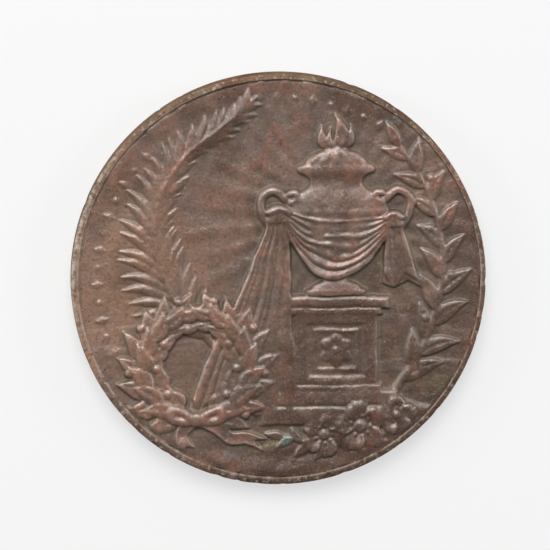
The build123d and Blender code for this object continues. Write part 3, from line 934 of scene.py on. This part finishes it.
def bronze_patina(finish, name, gloss, metal):
    """Brown bronze: mottled patina, rubbed ridges and painted highlights, grimy recesses and painted shade,
    pits and a spot of verdigris.
    """
    material = bpy.data.materials.new(name)
    nodes = Nodes(material, "Object")
    masks = {}
    for mark in ("worn", "grime", "ruddy", "rim"):
        masks[mark] = nodes.add("Attribute", attribute_name=mark).outputs["Fac"]
    for cloud, values in CLOUDS.items():
        masks[cloud] = nodes.mottle(*values)
    for place, values in STAINS.items():
        masks[place] = nodes.stain(*values)
    warmth = nodes.plus(nodes.times(masks["ruddy"], 0.58), nodes.times(masks["patchy"], 0.46))
    level = nodes.add("SeparateXYZ", {0: nodes.coords}).outputs["Z"]
    motes = nodes.cells(MOTES)
    away = motes.outputs["Distance"]
    chance = nodes.add("SeparateColor", {0: motes.outputs["Color"]}).outputs[0]
    streak = nodes.add("Mapping", {"Vector": nodes.coords, **CRUST}, vector_type="TEXTURE")
    masks.update(
        warm=nodes.ramp(warmth, 0.4, 0.78),
        uneven=nodes.plus(nodes.times(masks["patchy"], 0.4), 0.24),
        brow=nodes.times(masks["rim"], nodes.ramp(level, 0.0028, 0.0034)),
        slope=nodes.ramp(level, 0.00378, 0.00362),
        rubbed=nodes.times(masks["worn"], masks["scuffs"]),
        mote=nodes.times(nodes.ramp(away, 0.13, 0.05), nodes.ramp(chance, 0.77, 0.79)),
        pock=nodes.times(nodes.ramp(away, 0.2, 0.08), nodes.ramp(chance, 0.38, 0.36)),
        crust=nodes.stain((0, 0, 0), 0.0001, 0.0007, streak.outputs["Vector"]),
    )
    colour = nodes.tint(masks["broad"], finish.grey_brown[:], finish.brown[:])
    for layer, strength, *through in LAYERS:
        share = nodes.times(*[masks[mask] for mask in through], strength)
        mode = "MULTIPLY" if layer == "shade" else "MIX"
        colour = nodes.tint(share, colour, getattr(finish, layer)[:], mode)
    dulled = (PLAIN, PLAIN, PLAIN, 1)
    for mask, rough in ROUGHNESS:
        dulled = nodes.tint(masks[mask], dulled, (rough, rough, rough, 1))
    grain = nodes.cloud(GRAIN, 5, 0.76)
    dips = nodes.ramp(nodes.cells(PITS).outputs["Distance"], 0.04, 0.22)
    pits = nodes.add("Mix", {0: masks["pitting"], 2: 1.0, 3: dips}, data_type="FLOAT").outputs[0]
    bump = nodes.add("Bump", {"Strength": 0.72, "Distance": 0.0001, "Height": grain})
    pitted = {"Strength": 0.6, "Distance": 0.00004, "Height": pits, "Normal": bump.outputs[0]}
    surface = {"Base Color": colour, "Roughness": dulled, "Metallic": metal, "IOR": 1.7}
    surface["Specular IOR Level"] = gloss
    surface["Normal"] = nodes.add("Bump", pitted).outputs[0]
    fill(nodes.tree, nodes.tree.nodes["Principled BSDF"], surface)
    return material


def add_object(context, name, data):
    """An object that shows a mesh, a light or a camera in the scene."""
    made = bpy.data.objects.new(name, data)
    context.scene.collection.objects.link(made)
    return made


def add_mesh(context, name, bm):
    """A mesh object made from a bmesh."""
    mesh = bpy.data.meshes.new(name)
    bm.to_mesh(mesh)
    bm.free()
    return add_object(context, name, mesh)


def add_medal(context):
    """Strikes the medal and gives it its patina."""
    bm, marks = strike(context.scene.medal_sizes)
    bm.verts.index_update()
    nick_rim(bm, context.scene.medal_sizes.nicks, marks["rim"])
    for face in bm.faces:
        spot = face.calc_center_median()
        near_edge = np.hypot(spot.x, spot.y) > RADIUS - 1.15 and spot.z > 0.1
        if near_edge and all(marks["rim"][vert.index] > 0.5 for vert in face.verts):
            face.material_index = 1
    bmesh.ops.scale(bm, vec=(MM, MM, MM), verts=bm.verts)
    medal = add_mesh(context, "struck_medal", bm)
    mesh = medal.data
    mesh.shade_smooth()
    for name, values in marks.items():
        layer = mesh.attributes.new(name, "FLOAT", "POINT")
        layer.data.foreach_set("value", np.array(values, np.float32))
    for name, gloss, metal in (("brown_bronze", 0.7, 0.15), ("edge_bronze", 0.0, 0.0)):
        mesh.materials.append(bronze_patina(context.scene.medal_finish, name, gloss, metal))
    return medal


def add_floor(context, stage):
    """The pale floor, which gives a little light of its own."""
    bm = bmesh.new()
    bmesh.ops.create_grid(bm, x_segments=1, y_segments=1, size=FLOOR_REACH)
    floor = add_mesh(context, "floor", bm)
    paper = bpy.data.materials.new("pale_floor")
    paper.use_nodes = True
    surface = {"Base Color": stage.floor_colour, "Roughness": 0.9, "Specular IOR Level": 0.1}
    surface["Emission Color"] = (1.0, 1.0, 1.0, 1.0)
    surface["Emission Strength"] = stage.floor_glow
    fill(paper.node_tree, paper.node_tree.nodes["Principled BSDF"], surface)
    floor.data.materials.append(paper)
    return floor


def add_surround(context, stage):
    """The even light from all round, stronger low down and beyond the medal's top."""
    world = bpy.data.worlds.new("studio")
    context.scene.world = world
    nodes = Nodes(world, "Generated")
    way = nodes.add("SeparateXYZ", {0: nodes.coords}).outputs
    fall = {"Value": way["Z"], "From Min": 0.0, "From Max": 0.7, "To Min": 1.0, "To Max": 0.25}
    front = {"Value": way["Y"], "From Min": -0.8, "From Max": 0.3, "To Min": 0.25, "To Max": 1.15}
    walls = [nodes.add("MapRange", values).outputs["Result"] for values in (fall, front)]
    light = {"Color": nodes.times(*walls), "Strength": stage.world_light}
    fill(nodes.tree, nodes.tree.nodes["Background"], light)


def add_light(context, name, power, size, place):
    """A round soft light that faces the medal."""
    light = bpy.data.lights.new(name, "AREA")
    light.shape = "DISK"
    light.size = size
    light.energy = power
    lamp = add_object(context, name, light)
    lamp.location = place
    lamp.rotation_mode = "QUATERNION"
    lamp.rotation_quaternion = Vector(place).to_track_quat("Z", "Y")


def add_camera(context, stage):
    """A long lens above the medal, leaning a little to its top."""
    data = bpy.data.cameras.new("camera")
    data.lens = LENS
    data.sensor_width = SENSOR
    data.clip_start, data.clip_end = 0.01, 10
    camera = add_object(context, "camera", data)
    lean = Vector(LEAN_WAY).normalized() * np.sin(stage.tilt)
    away = Vector((lean.x, lean.y, np.cos(stage.tilt)))
    side = Vector((0, 1, 0)).cross(away).normalized()
    camera.location = Vector(TARGET) + away * stage.distance
    camera.rotation_mode = "QUATERNION"
    camera.rotation_quaternion = Matrix((side, away.cross(side), away)).transposed().to_quaternion()
    context.scene.camera = camera


def number(name, description, default, **limits):
    """A number that a user can change."""
    return FloatProperty(name=name, description=description, default=default, **limits)


def swatch(name, description, default):
    """A colour that a user can change."""
    colour = (*default, 1.0)
    limits = {"size": 4, "min": 0, "max": 1, "subtype": "COLOR"}
    return FloatVectorProperty(name=name, description=description, default=colour, **limits)


class MedalSizes(PropertyGroup):
    """Sizes of the relief and the rim."""

    relief_scale: number(
        "Relief", "Height of the relief, as a share of the clay", 0.82, min=0.1, max=1.0, subtype="FACTOR"
    )
    softness: number("Softness", "How far the clay is rounded over, in millimetres", 0.075, min=0.02, max=1.0)
    wear: number("Wear", "How far ridges are rubbed down", 0.25, min=0.0, max=1.0, subtype="FACTOR")
    nicks: IntProperty(name="Nicks", description="Number of dents round the rim", default=46, min=0)


class MedalFinish(PropertyGroup):
    """Colours of the bronze and its patina, and of its painted shade and highlights."""

    brown: swatch("Brown", "Main colour", (0.232, 0.137, 0.098))
    light_brown: swatch("Light brown", "Paler clouds", (0.35, 0.25, 0.198))
    # Dark brown is also the colour of the painted shade in the recesses and on the rim's lower side
    dark_brown: swatch("Dark brown", "Blotches and grime", (0.057, 0.029, 0.016))
    # Shade is the colour of the painted shade, darker towards the lower right
    shade: swatch("Shade", "Darker tint at the lower right", (0.46, 0.38, 0.31))
    red_brown: swatch("Red brown", "Redder patches", (0.272, 0.118, 0.076))
    # Tan is partly a warm tint and partly painted light at the left
    tan: swatch("Tan", "Warmer light brown at the left", (0.375, 0.205, 0.128))
    grey_brown: swatch("Grey brown", "Dusty patches", (0.13, 0.088, 0.067))
    olive: swatch("Olive", "Tint in the recesses", (0.14, 0.112, 0.044))
    # Worn bronze is the colour of the rubbed wear, and also of a painted highlight on the ridges
    worn_bronze_highlight: swatch("Worn bronze", "Rubbed ridges", (0.39, 0.305, 0.258))
    brass: swatch("Brass", "Yellower metal on the rim", (0.165, 0.116, 0.074))
    # Dust is the colour of pale dust and specks, and also of the painted highlight on the rim's left and of
    # the painted glints
    dust_and_highlight: swatch("Dust", "Pale specks and dust on the rim", (0.44, 0.385, 0.33))
    crust: swatch("Crust", "Yellowish crust beside the green spot", (0.33, 0.3, 0.13))
    verdigris: swatch("Verdigris", "Small green spot", (0.11, 0.33, 0.29))


class MedalStage(PropertyGroup):
    """Floor, light and camera."""

    floor_colour: swatch("Floor", "Colour of the pale floor", (0.27, 0.27, 0.27))
    world_light: number("Surround", "Strength of the even light from all round", 0.82, min=0)
    floor_glow: number("Floor glow", "Even light of the floor itself, as on a light table", 0.615, min=0)
    key_power: number("Key light", "Power of the soft light from above the top", 5.7, min=0, unit="POWER")
    key_size: number("Key size", "Width of the soft light", 0.52, min=0.01, unit="LENGTH")
    side_power: number(
        "Side lights", "Power of the low light at the left; the right one has less", 1.5, min=0, unit="POWER"
    )
    tilt: number("Tilt", "How far the camera leans from straight above", 0.168, subtype="ANGLE")
    distance: number("Distance", "Camera's distance from the medal", 1.1041, min=0.05, unit="LENGTH")


class MEDAL_OT_field(Operator):
    """Clear the board and lay the field with its hills and faint border"""

    bl_idname = "medal.field"
    bl_label = "Lay the field"

    def execute(self, context):
        lay_field()
        model_border()
        return {"FINISHED"}


class MEDAL_OT_greenery(Operator):
    """Model the palm frond and the laurel sprig"""

    bl_idname = "medal.greenery"
    bl_label = "Model the palm and sprig"

    def execute(self, context):
        model_palm()
        model_sprig(SPRIG, 17, 0.225, 0.088, 0.1, 0.3, 31)
        return {"FINISHED"}


class MEDAL_OT_urn(Operator):
    """Model the plinth, the urn and the cloth that hangs over it"""

    bl_idname = "medal.urn"
    bl_label = "Model the plinth, urn and cloth"

    def execute(self, context):
        model_plinth()
        model_urn()
        model_cloth()
        return {"FINISHED"}


class MEDAL_OT_flowers(Operator):
    """Model the poppies with their leaves, and the wreath with its bow"""

    bl_idname = "medal.flowers"
    bl_label = "Model the poppies and wreath"

    def execute(self, context):
        for stem, seed in FLOWER_STEMS:
            model_sprig(stem, 7, 0.135, 0.06, 0.36, 0.26, seed, berries=False)
        for poppy in POPPIES:
            model_poppy(*poppy)
        model_wreath()
        model_bow()
        return {"FINISHED"}


class MEDAL_OT_strike(Operator):
    """Strike the medal from the clay and patinate it"""

    bl_idname = "medal.strike"
    bl_label = "Strike the medal"

    def execute(self, context):
        medal = add_medal(context)
        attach(medal, "root")
        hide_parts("medal")
        return {"FINISHED"}


class MEDAL_OT_stage(Operator):
    """Set the pale floor, the soft light and the camera"""

    bl_idname = "medal.stage"
    bl_label = "Set the stage"

    def execute(self, context):
        stage = context.scene.medal_stage
        floor = add_floor(context, stage)
        add_surround(context, stage)
        add_light(context, "key_light", stage.key_power, stage.key_size, KEY_PLACE)
        add_light(context, "left_light", stage.side_power, SIDE_SIZE, LEFT_PLACE)
        add_light(context, "right_light", RIGHT_SHARE * stage.side_power, SIDE_SIZE, RIGHT_PLACE)
        add_camera(context, stage)
        context.scene.view_settings.view_transform = "Standard"
        return {"FINISHED"}


class MEDAL_PT_panel(Panel):
    """The medal's steps in the sidebar"""

    bl_idname = "MEDAL_PT_panel"
    bl_label = "Commemorative medal"
    bl_space_type = "VIEW_3D"
    bl_region_type = "UI"
    bl_category = "Medal"

    def draw(self, context):
        for group in GROUPS:
            box = self.layout.box()
            settings = getattr(context.scene, group)
            for name in settings.__annotations__:
                box.prop(settings, name)
        for operator in STEPS:
            self.layout.operator(operator.bl_idname)


STEPS = (MEDAL_OT_field, MEDAL_OT_greenery, MEDAL_OT_urn, MEDAL_OT_flowers, MEDAL_OT_strike, MEDAL_OT_stage)
GROUPS = {"medal_sizes": MedalSizes, "medal_finish": MedalFinish, "medal_stage": MedalStage}


def register():
    """Registers the settings, operators and panel."""
    for cls in (*GROUPS.values(), *STEPS, MEDAL_PT_panel):
        bpy.utils.register_class(cls)
    for name, cls in GROUPS.items():
        setattr(Scene, name, PointerProperty(type=cls))


def unregister():
    """Takes them away again."""
    for name in GROUPS:
        delattr(Scene, name)
    for cls in (MEDAL_PT_panel, *reversed(STEPS), *GROUPS.values()):
        bpy.utils.unregister_class(cls)


def main():
    """Makes the medal and its stage."""
    register()
    for operator in STEPS:
        group, name = operator.bl_idname.split(".")
        getattr(getattr(bpy.ops, group), name)()


if __name__ == "__main__":
    main()
